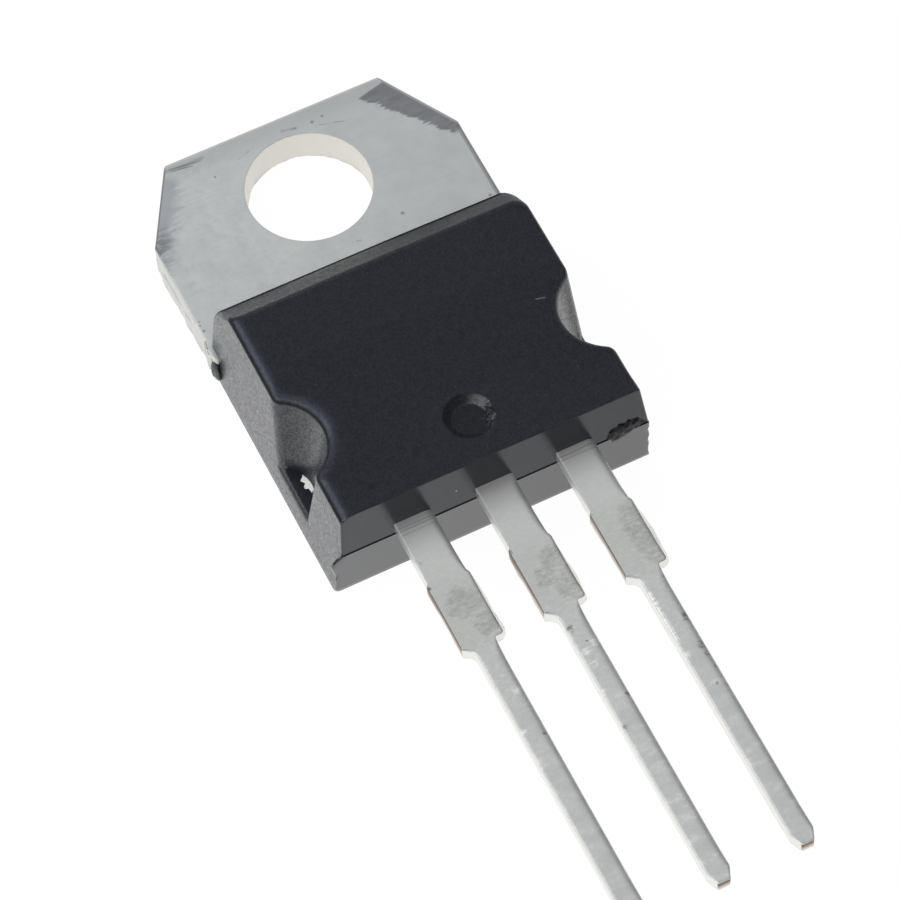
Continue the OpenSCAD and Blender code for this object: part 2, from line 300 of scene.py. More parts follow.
def lead_loop(start, shift):
    """One lead's outline from y = start to its tip, with its centre at x = shift, ready for
    stamped(): the edge is pulled in by an amount that depends on the side and on the part."""
    root, stub, lead, tip = ROOT_W / 2, STUB_W / 2, LEAD_W / 2, TIP_W / 2
    corners = [(-tip, TIP_Y, 0.05), (tip, TIP_Y, 0.05), (lead, TAPER_Y, 0.2),
               (lead, SHOULDER_Y, 0.06), (stub, SHOULDER_Y, 0.12), (stub, STUB_Y - 0.14, 0.15),
               (root, STUB_Y, 0.15), (root, start, 0.05), (-root, start, 0.05),
               (-root, STUB_Y, 0.03), (-stub, STUB_Y - 0.06, 0.03), (-stub, SHOULDER_Y, 0.02),
               (-lead, SHOULDER_Y - HOLLOW_DROP, HOLLOW_R), (-lead, TAPER_Y, 0.2)]
    loop, bend = outline(corners, 0.12)
    x, y = loop.T
    narrow = y <= SHOULDER_Y + 0.02
    wide = (y < STUB_Y - 0.1) & ~narrow
    roll = np.where(x > 0, np.select([narrow, wide], [PULLED_NARROW, PULLED_STUB], PULLED_ROOT),
                    np.select([narrow, wide], [LEFT_NARROW, LEFT_STUB], LEFT_ROOT))
    ends = (y < TIP_Y + 0.02) | (narrow & (y > SHOULDER_Y - 0.1))
    roll = np.where(ends, PULLED_ENDS, roll)
    ragged = LEAD_RAGGED * np.where(wide, 2.0, 0.5) * np.clip(bend / 0.2, 0.1, 1)
    lean = STUB_LEAN * (wide & (x > stub - 0.01)) * np.where(bend < 1, 0.45, 1.0)
    return loop + [shift, 0], bend, roll, ragged + 0.15 * lean, calm(lean, STUB_LEAN, 2)


LEAD_START = -11.0
for name, side, seed in (("input_lead", -1, 11), ("output_lead", 1, 12)):
    loops = [lead_loop(LEAD_START, side * PITCH)]
    points, faces, cut = stamped(loops, LEAD_LOW, LEAD_TOP, seed)
    strip = make_piece(name.replace("lead", "strip"), points, faces, {"cut": cut})
    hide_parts(name)

# %% [markdown]
# ## The tab, with the centre lead
#
# The tab, the plate that goes on under the plastic and the centre lead are one piece of copper.
# The tab has two cut corners and the mounting hole. Under the plastic the strip climbs from the
# plate to the level of the leads. That climb is a ribbon: a small rectangle carried along a bent
# path, each section turned to the path's direction.

# %% Ribbon
CLIMB = [(-10.4, 0.975), (-11.0, 0.975), (-11.18, 1.05), (-12.02, 2.68), (-12.2, 2.775),
         (-12.5, 2.775)]
CLIMB_W, CLIMB_T = 1.1, 0.44


def ribbon(path, width, thick):
    """A flat bar bent along a path of (y, z) points: at each point a rectangle stands across the
    mean direction of the path, and the two end rectangles close it."""
    path = np.array(path, float)
    along = unit(np.gradient(path, axis=0))
    across = np.stack([-along[:, 1], along[:, 0]], -1)
    corners = np.array([(-1, 1), (1, 1), (1, -1), (-1, -1)]) / 2
    yz = path[:, None] + across[:, None] * (corners[:, 1] * thick)[None, :, None]
    x = np.broadcast_to(corners[:, 0] * width, yz.shape[:2])
    points = np.concatenate([x[..., None], yz], -1).reshape(-1, 3)
    last = len(points) - 4
    ends = np.array([[3, 2, 1, 0], [last, last + 1, last + 2, last + 3]])
    return points, facing_out(points, [bands(len(path), 4), ends]), np.zeros(len(points))


neck = ribbon(CLIMB, CLIMB_W, CLIMB_T)
print("neck of the centre lead:", len(neck[0]), "points")

# %% Tab, plate and centre lead
TAB_T = 1.2
TAB_HALF, PLATE_HALF = 5.0, 4.5
TAB_TOP, TOP_HALF, CORNER_Y = 2.65, 3.55, 0.1
EAR_Y, PLATE_END = -4.2, -10.88
HOLE_R, HOLE_POINTS = 1.925, 160
TAB_RAGGED, HOLE_RAGGED = 0.07, 0.04
TIE_OUT, TIE_DOWN = 0.07, 0.04
CENTRE_START = -12.3

right_side = [(TAB_HALF, CORNER_Y, 0.12), (TOP_HALF, TAB_TOP, 0.12)]
left_side = [(-x, y, r) for x, y, r in right_side[::-1]]
tie = [(-TAB_HALF, -3.5, 0.3), (-TAB_HALF - TIE_OUT, -3.75, 0.2),
       (-TAB_HALF - TIE_OUT, EAR_Y - TIE_DOWN, 0.15), (-PLATE_HALF, EAR_Y - TIE_DOWN, 0.1)]
plate = [(-PLATE_HALF, PLATE_END, 0.1), (PLATE_HALF, PLATE_END, 0.1), (PLATE_HALF, EAR_Y, 0.1)]
loop, bend = outline(plate + [(TAB_HALF, EAR_Y, 0.1)] + right_side + left_side + tie, 0.1)
x, y = loop.T
roll = np.where(x < -TOP_HALF, 0.11, np.where(x > TOP_HALF, 0.07, 0.03))
roll = np.where(x > TAB_HALF - 0.02, 0.13, roll)
ragged = TAB_RAGGED * np.where(y < CORNER_Y, 1.0, 0.6) * np.clip(bend / 0.3, 0.1, 1)
angle = np.linspace(0, -2 * math.pi, HOLE_POINTS, endpoint=False)
hole = HOLE_R * np.stack([np.cos(angle), np.sin(angle)], -1)
tab = stamped([(loop, bend, roll, ragged, 0 * roll),
               (hole, *all_round(hole, HOLE_R, 0.02, HOLE_RAGGED, 0.0))], 0, TAB_T, 21)
centre = stamped([lead_loop(CENTRE_START, 0)], LEAD_LOW, LEAD_TOP, 13)
points, faces, cut = joined([tab, centre, neck])
heat_strip = make_piece("tab_strip", points, faces, {"cut": cut})
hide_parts("heat_sink")

# %% [markdown]
# ## The moulded body
#
# The body is a casting: every wall leans, so that it leaves the mould, and no edge is quite sharp.
# It has a half-round notch in each side with a ledge at its foot, a bevel above the tab, a step at
# the lead side where the two mould halves meet, and a dimple from the ejector pin. It is built as a
# loft: at each height one closed ring follows the near wall, a side, its notch, the other side of
# the notch and the far wall. All rings have the same number of points for each of these stretches,
# so neighbouring rings join with plain quads, and the ledge appears by itself where the ring
# jumps from the straight wall into the notch.

# %% Sizes of the body
BODY_TOP, BODY_LOW = 4.3, 0.05
BODY_HALF, SIDE_LEAN = 4.99, 4.5
NEAR_Y, NEAR_LEAN, BEVEL_Z, BEVEL_RUN = -3.725, 4.0, 3.26, 1.24
BEVEL_LEAN = math.degrees(math.atan(BEVEL_RUN / (BODY_TOP - BEVEL_Z)))
BEVEL_SOFT = 0.6
FAR_Y, FAR_LEAN, UNDER_LEAN, STEP = -12.56, 5.0, 8.0, 0.03
PART_Z = 2.55
NOTCH_X, NOTCH_Y, NOTCH_R, NOTCH_LEAN = 5.266, -9.36, 1.5, 10.0
LEDGE_Z, LEDGE_ROUND = 1.215, 0.17
SIDE_ROUND = {-1: 0.55, 1: 0.14}
RIM_ROUND = {-1: 0.75, 1: 0.25}
NEAR_ROUND, NEAR_DEEP, FAR_ROUND, ROUND_DEEP = 0.16, 0.12, 0.05, 0.25
SOFT_EDGE = 0.36
CORNER_ROUND = {-1: 0.2, 1: 0.45}
CORNER_SHARP, CORNER_LEAST = 0.05, 0.08
END_ROUND, FOOT_ROUND, FOOT_REACH = 0.06, 0.1, 0.5


def tan(degrees):
    """Tangent of an angle in degrees."""
    return math.tan(math.radians(degrees))


def lip(z, wide, deep, top=BODY_TOP):
    """How far a wall draws in near its top edge: a quarter of an ellipse, wide across and deep
    down, that leaves the wall smoothly and meets the top smoothly."""
    t = np.clip((np.asarray(z, float) - (top - deep)) / deep, 0, 1)
    return wide * (1 - np.sqrt(1 - t * t))


print("the left edge draws in, at z = 4.1 to 4.3:",
      [round(float(lip(z, SIDE_ROUND[-1], ROUND_DEEP)), 3) for z in (4.1, 4.2, 4.3)])

# %% Walls of the body at one height
STRETCH = dict(near=14, corner=7, side=18, soft=7, notch=30, after=12, far=26)


def arc(x, y, radius, angles):
    """Points of the circle round (x, y) at the given angles."""
    return np.stack([x + radius * np.cos(angles), y + radius * np.sin(angles)], -1)


def line(x, y):
    """Points with these x and y, either of which may be one number for all the points."""
    return np.column_stack(np.broadcast_arrays(x, y))


def near_wall(z):
    """Y of the near wall: the upright wall or the bevel above it, whichever is further back, with
    the edge between them eased, and a small round at the top."""
    wall = NEAR_Y - (z - TAB_T) * tan(NEAR_LEAN) * (z > TAB_T)
    slope = NEAR_Y - (BEVEL_Z - TAB_T) * tan(NEAR_LEAN) - (z - BEVEL_Z) * tan(BEVEL_LEAN)
    eased = max(BEVEL_SOFT - abs(wall - slope), 0)**2 / (4 * BEVEL_SOFT)
    return min(wall, slope) - eased - lip(z, NEAR_ROUND, NEAR_DEEP)


def far_wall(z):
    """Y of the far wall: above the parting line it leans in upwards, and below the line it stands
    out by the step and leans in downwards."""
    upper = FAR_Y + (z - PART_Z) * tan(FAR_LEAN)
    lower = FAR_Y - STEP + (PART_Z - z) * tan(UNDER_LEAN)
    return (upper if z > PART_Z else lower) + lip(z, FAR_ROUND, FAR_ROUND)


def notch_run(z, side, drawn_in, inset):
    """The notch of the right half: an arc that turns in from the side wall, the arc of the notch,
    which touches it, and the first arc mirrored on the way out."""
    mouth = BODY_HALF - (z - BODY_LOW) * tan(SIDE_LEAN) - drawn_in - inset
    r = NOTCH_R - (BODY_TOP - z) * tan(NOTCH_LEAN) + lip(z, RIM_ROUND[side], ROUND_DEEP) + inset
    f = SOFT_EDGE + 0.3 * drawn_in
    rise = math.sqrt((r + f)**2 - (NOTCH_X - mouth + f)**2)
    turn = math.atan2(-rise, NOTCH_X - (mouth - f))
    soft = arc(mouth - f, NOTCH_Y + rise, f, np.linspace(0, turn, STRETCH["soft"]))
    inner = np.linspace(math.pi + turn, math.pi - turn, STRETCH["notch"] + 2)[1:-1]
    mirrored = soft[::-1] * [1, -1] + [0, 2 * NOTCH_Y]
    return np.vstack([soft, arc(NOTCH_X, NOTCH_Y, r, inner), mirrored])


print("near wall's Y at the tab and at the top:",
      [round(float(near_wall(z)), 3) for z in (TAB_T, BODY_TOP)])

# %% One ring of the body
BAY, FAR = 3, 6


def half_ring(z, notched, side, inset):
    """Right half of the ring at height z, from the middle of the near wall to the middle of the far
    wall; for side -1 it is mirrored. notched is False below the ledge, where the notch's points lie
    on the straight wall at the same y. Gives the points and the stretch that each belongs to."""
    drawn_in = float(lip(z, SIDE_ROUND[side], min(SIDE_ROUND[side], ROUND_DEEP)))
    half = BODY_HALF - (z - BODY_LOW) * tan(SIDE_LEAN) - drawn_in - inset
    near, far = near_wall(z) - inset, far_wall(z) + inset
    bay = notch_run(z if notched else LEDGE_Z, side, drawn_in, inset)
    if not notched:
        bay = line(half, bay[:, 1])
    near_r = np.interp(z, [2.4, 3.3], [CORNER_SHARP, CORNER_ROUND[side]]) - 0.5 * drawn_in
    near_r = max(near_r, CORNER_LEAST)
    far_r = END_ROUND + FOOT_ROUND * (side < 0) * max(1 - (z - BODY_LOW) / FOOT_REACH, 0)**2
    q = np.linspace(math.pi / 2, 0, STRETCH["corner"])
    closing = np.linspace(1, 0, STRETCH["after"] + 2)[1:-1]**2
    parts = [line(np.linspace(0, half - near_r, STRETCH["near"], endpoint=False), near),
             arc(half - near_r, near - near_r, near_r, q),
             line(half, np.linspace(near - near_r, bay[0, 1], STRETCH["side"] + 2)[1:-1]),
             bay,
             line(half, far + far_r + (bay[-1, 1] - far - far_r) * closing),
             arc(half - far_r, far + far_r, far_r, q - math.pi / 2),
             line(np.linspace(half - far_r, 0, STRETCH["far"] + 1)[1:], far)]
    kinds = np.concatenate([np.full(len(part), k) for k, part in enumerate(parts)])
    # The last three points of the far corner count as the far wall.
    kinds[-STRETCH["far"] - 3:] = FAR
    return np.vstack(parts) * [side, 1], kinds


def whole_ring(z, notched, inset=0.0):
    """The left half from near to far, then the right half from far back to near: anticlockwise."""
    left, kind = half_ring(z, notched, -1, inset)
    back_again = half_ring(z, notched, 1, inset)[0][::-1][1:-1]
    return np.vstack([left, back_again]), np.concatenate([kind, kind[::-1][1:-1]])


ring, kind = whole_ring(3.0, True)
COUNT = len(ring)
print("points in a ring:", COUNT)

# %% [markdown]
# The rings are then stacked. Two places need two rings at almost one height: the ledge, where the
# second ring steps into the notch, and the parting line, where the upper wall stands back. Where
# the two rings would coincide, the second is lifted by a hair, so that no face has zero size. Round
# the ledge's rim and round the top edge the heights crowd together, which draws the small rounds.

# %% Stack the rings into the body
HAIR = 0.02
PART_TWIN = PART_Z + 1e-4


def plain(heights, notched):
    """Levels that aren't set in, as (z, notched, inset)."""
    return [(z, notched, 0) for z in heights]


quarter = np.sin(np.radians(np.arange(0, 91, 10)))
levels = [(BODY_LOW, False, 0.035), (BODY_LOW, False, 0.02), (BODY_LOW + 0.015, False, 0.005)]
levels += plain((BODY_LOW + 0.04, 0.3, 0.6, 0.85, LEDGE_Z - LEDGE_ROUND), False)
levels += plain(LEDGE_Z - LEDGE_ROUND * (1 - quarter[2::2]), False)
levels += plain((LEDGE_Z, 1.35, 1.5, 1.65, 1.8, 1.9, 2.0, 2.1, 2.2, 2.3, 2.4, 2.48), True)
levels += plain((PART_Z - 0.02, PART_Z, PART_TWIN, 2.61, 2.7), True)
levels += plain((*np.arange(2.8, 3.95, 0.06), 3.98), True)
levels += plain(BODY_TOP - ROUND_DEEP * (1 - quarter), True) + [(BODY_TOP, True, 0.03)]

# The window is 1 on the notch's own points and falls to 0 at both ends of each notch.
bay_run = np.concatenate([np.sin(np.linspace(0, math.pi, (kind == BAY).sum() // 2))] * 2)
window = np.zeros(COUNT)
window[kind == BAY] = np.clip(bay_run * 2.5, 0, 1)
rings = []
for z, notched, inset in levels:
    flat = whole_ring(z, notched, inset)[0]
    if not notched and z > LEDGE_Z - LEDGE_ROUND:
        flat[:, 0] -= np.sign(flat[:, 0]) * lip(z, LEDGE_ROUND, LEDGE_ROUND, LEDGE_Z) * window
    lifted = (1 - window) if notched and z == LEDGE_Z else (kind != FAR) * float(z == PART_TWIN)
    above = whole_ring(z + HAIR, notched, inset)[0]
    flat = flat + (above - flat) * lifted[:, None]
    rings.append(np.column_stack([flat, np.full(COUNT, z) + HAIR * lifted]))
body_points, zone = np.vstack(rings), np.tile(kind, len(levels))
print("rings:", len(levels), "points:", len(body_points))

# %% [markdown]
# Moulding compound creeps past the edge of the mould. At the left end of the parting line it has
# run round the corner and hardened as a small bulge below the line. At the right end the corner
# flares out a little and its edge is wavy. The bevel also isn't quite square to the sides: at its
# right end the near wall stands a little further back. All three are smooth pushes of points.

# %% Bulge at the left corner, flare at the right
BULGE, WIDEST_Z = 0.27, 2.08
FLARE, FLARE_TOP, WAVE = 0.1, 4.75, 0.02
SKEW = 0.045


def smooth(value, low, high):
    """0 below low, 1 above high, and an S-shaped climb between."""
    t = np.clip((value - low) / (high - low), 0, 1)
    return t * t * (3 - 2 * t)


x, y, z = body_points.T
left_corner = (zone >= FAR - 1) * smooth(-x, 4.4, 4.75)
climbed = (np.clip(z, WIDEST_Z, None) - WIDEST_Z) / (PART_Z - WIDEST_Z)
curled = np.sqrt(np.clip(1 - climbed**2, 0, 1)) * (0.3 + 0.7 * smooth(z, 1.1, 2.1))
body_points[:, 0] -= BULGE * left_corner * curled * smooth(z, 0.5, 1.2)
body_points[:, 1] -= SKEW * smooth(x, 0.0, 4.9) * smooth(y, -6.0, -4.6)
right_corner = smooth(-y, 11.7, 12.35) * smooth(x, 4.2, 4.6)
ripple = np.sin(z * 8.5 + 0.6) + 0.7 * np.sin(z * 21)
flared = FLARE * np.clip((FLARE_TOP - z) / 2.3, 0, 1) + WAVE * ripple * (z < PART_Z)
body_points[:, 0] += right_corner * flared
print("corner points moved:", int((left_corner + right_corner > 0).sum()))

# %% [markdown]
# The dimple is a shallow cone, chipped on one side. The rim circle, the wall's rings and the floor
# are rings too, which run clockwise because the material is outside them. The top face is filled
# between the outermost ring of the body and the dimple's rim.

# %% Dimple and caps
DIMPLE, DIMPLE_R, DIMPLE_DEPTH = (0.0, -11.01), 0.76, 0.2
WALL_RUN, CHIP_FROM, CHIP_TO = 0.27, -52, 14
DIMPLE_POINTS, DIMPLE_ZONE = 120, 9
# Each ring of the dimple is (share of the way down the wall, how far it is set out).
DIMPLE_STEPS = [(0, 0.05), (0, 0.02)]
DIMPLE_STEPS += [(share, 0) for share in (0.04, 0.15, 0.3, 0.45, 0.6, 0.75, 0.88, 0.97)]
DIMPLE_STEPS += [(1, -0.02), (1, -0.06), (1, -0.2)]

phi = np.linspace(0, -2 * math.pi, DIMPLE_POINTS, endpoint=False)
bearing = (np.degrees(phi) + 180) % 360 - 180
chipped = (smooth(bearing, CHIP_FROM - 6, CHIP_FROM + 6)
           * (1 - smooth(bearing, CHIP_TO - 4, CHIP_TO + 4)))
dimple_rings = []
for n, (share, extra) in enumerate(DIMPLE_STEPS):
    rough = chipped * (0.1 < share < 0.98)
    radius = DIMPLE_R + extra - WALL_RUN * share + 0.05 * drift(DIMPLE_POINTS, 34, 50 + n) * rough
    sunk = DIMPLE_DEPTH * share + 0.04 * drift(DIMPLE_POINTS, 30, 80 + n) * rough
    dimple_rings.append(np.column_stack([arc(*DIMPLE, radius, phi), BODY_TOP - sunk]))
first = len(body_points)
points = np.vstack([body_points, *dimple_rings])
top_loop = np.arange(first - COUNT, first)
rim_loop = np.arange(first, first + DIMPLE_POINTS)
floor_loop = np.arange(len(points) - DIMPLE_POINTS, len(points))
dimple_faces = bands(len(dimple_rings), DIMPLE_POINTS, first)[:, ::-1]
faces = [bands(len(levels), COUNT), dimple_faces, cap(points, [top_loop, rim_loop], 1),
         cap(points, [floor_loop], 1), cap(points, [np.arange(COUNT)], -1)]

# %% The moulding's marks
zone = np.concatenate([zone, np.full(len(points) - first, DIMPLE_ZONE)])
x, y, z = points.T
far_face = (zone == FAR) | (zone == FAR - 1)
glossy = far_face & (z < BODY_TOP - 0.03) & (np.abs(z - PART_Z) > 0.005)
notch_wall = (zone == BAY) & (z > LEDGE_Z + 0.03) & (np.abs(x) < np.abs(NOTCH_X) - 0.55)
marks = {"glossy": glossy, "notch": notch_wall, "torn": 0 * x}
body = make_piece("moulding", points, faces, marks)
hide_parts("mould_body")

# %% [markdown]
# ## Torn and crept plastic
#
# Two lumps of plastic are left from moulding: the scar where the runner was broken off at the right
# end of the parting line, and a drop of flash at the foot of the left side. Next to the flash the
# tie of the tab was sheared off and left a burr of metal. Each of the three is a rough little bar:
# a closed section carried along a line, with its size and its surface wandering at random. Both
# ends shrink to a point, which closes them.

# %% A rough bar
def lumps(rows, columns, cells, seed):
    """A table of random values between -1 and 1, joined by straight lines from cell to cell in both
    directions, which gives flat broken facets. The last column meets the first."""
    coarse = np.random.default_rng(seed).uniform(-1, 1, cells)
    coarse = np.hstack([coarse, coarse[:, :1]])
    u = np.linspace(0, cells[1], columns, endpoint=False)
    wide = np.stack([np.interp(u, np.arange(cells[1] + 1), row) for row in coarse])
    v = np.linspace(0, cells[0] - 1, rows)
    return np.stack([np.interp(v, np.arange(cells[0]), column) for column in wide.T], 1)


def rough_bar(line, reach, height, rough, seed, along=110, around=56):
    """An oval bar along a bent line of points (x, y, z). reach is its half size away from the body
    and height its half size in Z, one value per point of the line. Both ends shrink to a point."""
    t, knots = np.linspace(0, 1, along), np.linspace(0, 1, len(line))
    middle = np.stack([np.interp(t, knots, column) for column in np.array(line, float).T], 1)
    full = (np.clip(4 * t * (1 - t), 0, 1)**0.35)[:, None]
    broken = lumps(along, around, (13, 12), seed) + 0.7 * lumps(along, around, (34, 26), seed + 1)
    size = full * (1 + rough * broken)
    a = np.linspace(0, 2 * math.pi, around, endpoint=False)
    run = unit(middle[-1] - middle[0])
    out = unit(np.array([run[1], -run[0], 0]))
    sideways = np.interp(t, knots, reach)[:, None] * size * np.cos(a)
    upwards = np.interp(t, knots, height)[:, None] * size * np.sin(a)
    points = middle[:, None] + sideways[..., None] * out + upwards[..., None] * [0, 0, 1]
    points = np.vstack([points[1:-1].reshape(-1, 3), middle[[0, -1]]])
    n = np.arange(around)
    beyond = (n + 1) % around
    tips = (along - 2) * around
    last = tips - around
    fans = [np.stack([beyond, n, np.full(around, tips)], -1),
            np.stack([last + n, last + beyond, np.full(around, tips + 1)], -1)]
    return points, facing_out(points, [bands(along - 2, around)] + fans)


print("rough_bar() is ready")

# %% Scar, flash and burr
SCAR = [(3.5, -12.5, 2.6), (3.75, -12.5, 2.62), (4.12, -12.5, 2.68), (4.55, -12.5, 2.76),
        (4.88, -12.5, 2.56)]
FLASH = [(-5.0, -4.1, 0.98), (-5.03, -4.24, 0.66), (-5.0, -4.42, 0.36)]
BURR = [(-5.0, -3.45, 1.12), (-5.06, -3.72, 1.05), (-5.08, -3.92, 1.0), (-5.05, -4.12, 1.02)]
BURR_CUT = 0.85
SCAR_HEIGHT = (0.28, 0.38, 0.32, 0.26, 0.12)

points, faces = rough_bar(SCAR, (0.1, 0.14, 0.13, 0.12, 0.07), SCAR_HEIGHT, 0.17, 31)
none = np.zeros(len(points))
make_piece("runner_scar", points, faces, {"glossy": none, "notch": none, "torn": none + 1})
points, faces = rough_bar(FLASH, (0.11, 0.14, 0.11), (0.12, 0.3, 0.2), 0.14, 32)
make_piece("side_flash", points, faces, {"glossy": none, "notch": none, "torn": none})
points, faces = rough_bar(BURR, (0.05, 0.09, 0.08, 0.12), (0.1, 0.16, 0.13, 0.17), 0.12, 33)
make_piece("tab_burr", points, faces, {"cut": none + BURR_CUT})

# %% [markdown]
# On the left ledge the skin of plastic over the plate is broken, and a bright scrap of metal shows.
# It is a thin plate with a torn outline, so stamped() makes it as well. It is tilted a little, up
# towards the body, and the whole of it counts as torn metal.

# %% Bare metal on the ledge
SCRAP = [(-4.36, -8.78), (-4.42, -8.98), (-4.54, -9.06), (-4.44, -9.2), (-4.56, -9.34),
         (-4.42, -9.42), (-4.4, -9.6), (-4.2, -9.5), (-4.12, -9.0)]
SCRAP_X, SCRAP_TILT, SCRAP_CUT = -4.42, 0.3, 0.8
loop, bend = outline([(x, y, 0.01) for x, y in SCRAP], 0.05)
loops = [(loop, bend, *all_round(loop, 0.015, 0.006, 0.0))]
points, faces, cut = stamped(loops, LEDGE_Z - 0.1, LEDGE_Z + 0.03, 41)
points[:, 2] += (points[:, 0] - SCRAP_X) * SCRAP_TILT
make_piece("bare_metal", points, faces, {"cut": cut * 0 + SCRAP_CUT})

# %% [markdown]
# ## Shader maths
#
# Blender's materials are graphs of nodes. To write a formula as a formula, one small class wraps a
# socket: adding, multiplying or raising wires adds the Math node that does it. A single method
# makes any other node from its settings and its sockets.

# %% A wire through the nodes
class Wire:
    """One output socket in a material's node graph."""

    def __init__(self, tree, socket=None):
        self.tree, self.socket = tree, socket

    def node(self, kind, sockets=None, out=0, **settings):
        """Adds a node: its settings first, then the values or links of its sockets."""
        made = self.tree.nodes.new(kind)
        for name, value in settings.items():
            setattr(made, name, value)
        for key, value in (sockets or {}).items():
            if isinstance(value, Wire):
                self.tree.links.new(value.socket, made.inputs[key])
            else:
                made.inputs[key].default_value = value
        return Wire(self.tree, made.outputs[out] if made.outputs else None)

    def beside(self, out):
        """Another output of the same node."""
        return Wire(self.tree, self.socket.node.outputs[out])

    def maths(self, operation, *values):
        """A Math node on these values, wires or numbers."""
        return self.node("ShaderNodeMath", dict(enumerate(values)), operation=operation)

    def __add__(self, other):
        return self.maths("ADD", self, other)

    def __sub__(self, other):
        return self.maths("SUBTRACT", self, other)

    def __rsub__(self, other):
        return self.maths("SUBTRACT", other, self)

    def __mul__(self, other):
        return self.maths("MULTIPLY", self, other)

    __radd__, __rmul__ = __add__, __mul__

    def __pow__(self, other):
        return self.maths("POWER", self, other)

    def size(self):
        """The number without its sign."""
        return self.maths("ABSOLUTE", self)

    def most(self, other):
        """The larger of the two."""
        return self.maths("MAXIMUM", self, other)

    def climb(self, low, high):
        """0 at low, 1 at high, S-shaped between; low may be above high."""
        sockets = {0: self, 1: low, 2: high}
        return self.node("ShaderNodeMapRange", sockets, interpolation_type="SMOOTHSTEP")

    def blend(self, first, second):
        """The first colour where this wire is 0 and the second where it is 1."""
        return self.node("ShaderNodeMix", {0: self, 6: first, 7: second}, out=2, data_type="RGBA")


def colour(r, g, b):
    """A colour as the sockets take it, with nothing see-through."""
    return (r, g, b, 1.0)


def new_material(name):
    """An empty material, and a wire to start from."""
    made = bpy.data.materials.new(name)
    made.use_nodes = True
    made.node_tree.nodes.clear()
    return made, Wire(made.node_tree)


def any_of(masks):
    """The largest of several masks."""
    largest = masks[0]
    for mask in masks[1:]:
        largest = largest.most(mask)
    return largest


def layered(base, layers):
    """A colour with others laid over it in order, each where its mask is 1."""
    for mask, tint in layers:
        base = mask.blend(base, tint)
    return base


print("a wire can:", ", ".join(name for name in vars(Wire) if not name.startswith("_")))

# %% Places, patterns and marks
def xyz(vector):
    """The three numbers of a vector."""
    x = vector.node("ShaderNodeSeparateXYZ", {0: vector}, out="X")
    return x, x.beside("Y"), x.beside("Z")


def places(start):
    """The point on the piece in millimetres, whole and as x, y and z."""
    metres = start.node("ShaderNodeTexCoord", out="Object")
    point = start.node("ShaderNodeVectorMath", {0: metres, "Scale": 1 / MM}, operation="SCALE")
    return point, *xyz(point)


def facing(start):
    """The direction that the surface faces, as x, y and z."""
    return xyz(start.node("ShaderNodeNewGeometry", out="Normal"))


def kept(start, name):
    """The number that make_piece() kept at each point under a name."""
    return start.node("ShaderNodeAttribute", out="Fac", attribute_name=name)


def noise(point, scale, detail=2.0, rough=0.5, stretch=None):
    """Noise from 0 to 1 with features of about 1 / scale mm; stretch scales the axes first."""
    if stretch:
        point = point.node("ShaderNodeVectorMath", {0: point, 1: stretch}, operation="MULTIPLY")
    sockets = {"Vector": point, "Scale": scale, "Detail": detail, "Roughness": rough}
    return point.node("ShaderNodeTexNoise", sockets, out="Fac")


def spot(point, at, radius, soft=0.5):
    """1 inside a small ball round a place, 0 outside."""
    gap = point.node("ShaderNodeVectorMath", {0: point, 1: at}, operation="DISTANCE", out="Value")
    return gap.climb(radius, radius * (1 - soft))


def spots(point, marks, height, soft=0.5):
    """1 inside any of several small balls at one height, each given as (x, y, radius)."""
    return any_of([spot(point, (x, y, height), radius, soft) for x, y, radius in marks])


def stroke(x, y, start, end, width):
    """1 along the line from start to end in plan, 0 beyond half its width: the distance across the
    line and the distance past its middle are both small."""
    dx, dy = end[0] - start[0], end[1] - start[1]
    length = math.hypot(dx, dy)
    dx, dy = dx / length, dy / length
    mx, my = (start[0] + end[0]) / 2, (start[1] + end[1]) / 2
    along = (x - mx) * dx + (y - my) * dy
    across = (x - mx) * -dy + (y - my) * dx
    return across.size().climb(width / 2, width / 6) * along.size().climb(length / 2, length / 3)


def strokes(x, y, marks):
    """1 along any of several lines, each given as (start, end, width)."""
    return any_of([stroke(x, y, *mark) for mark in marks])


def oval(x, y, at, size):
    """1 in the middle of an oval in plan, falling to 0 just past its edge."""
    u, v = (x - at[0]) * (1 / size[0]), (y - at[1]) * (1 / size[1])
    return (u ** 2 + v ** 2).climb(1.2, 0.0)


def relief(start, height, strength, depth):
    """Bumps of about the given depth in mm."""
    sockets = {"Strength": strength, "Distance": depth * MM, "Height": height}
    return start.node("ShaderNodeBump", sockets, out="Normal")


# Black for the veil: dull torn and scratched plastic, and painted shade.
SOOT_AND_SHADE = colour(0.012, 0.012, 0.013)


def surface(start, base, roughness, normal, veil=None, **fixed):
    """Principled surface with its output node; fixed holds sockets that are the same all over.
    Where veil is 1 the surface is plain black without any gloss: dull where plastic is torn and
    scratched, and painted shade elsewhere."""
    sockets = {"Base Color": base, "Roughness": roughness, "Normal": normal}
    sockets.update({name.replace("_", " "): value for name, value in fixed.items()})
    shader = start.node("ShaderNodeBsdfPrincipled", sockets, out="BSDF")
    if veil:
        sooty = start.node("ShaderNodeBsdfDiffuse", {"Color": SOOT_AND_SHADE})
        shader = start.node("ShaderNodeMixShader", {0: veil, 1: shader, 2: sooty})
    start.node("ShaderNodeOutputMaterial", {"Surface": shader})


def put_on(material, names):
    """Gives the new pieces of these names their material."""
    for name in names:
        bpy.data.objects[name].data.materials.append(material)
    print(f"{material.name}: {len(material.node_tree.nodes)} nodes")


print("node helpers are ready")
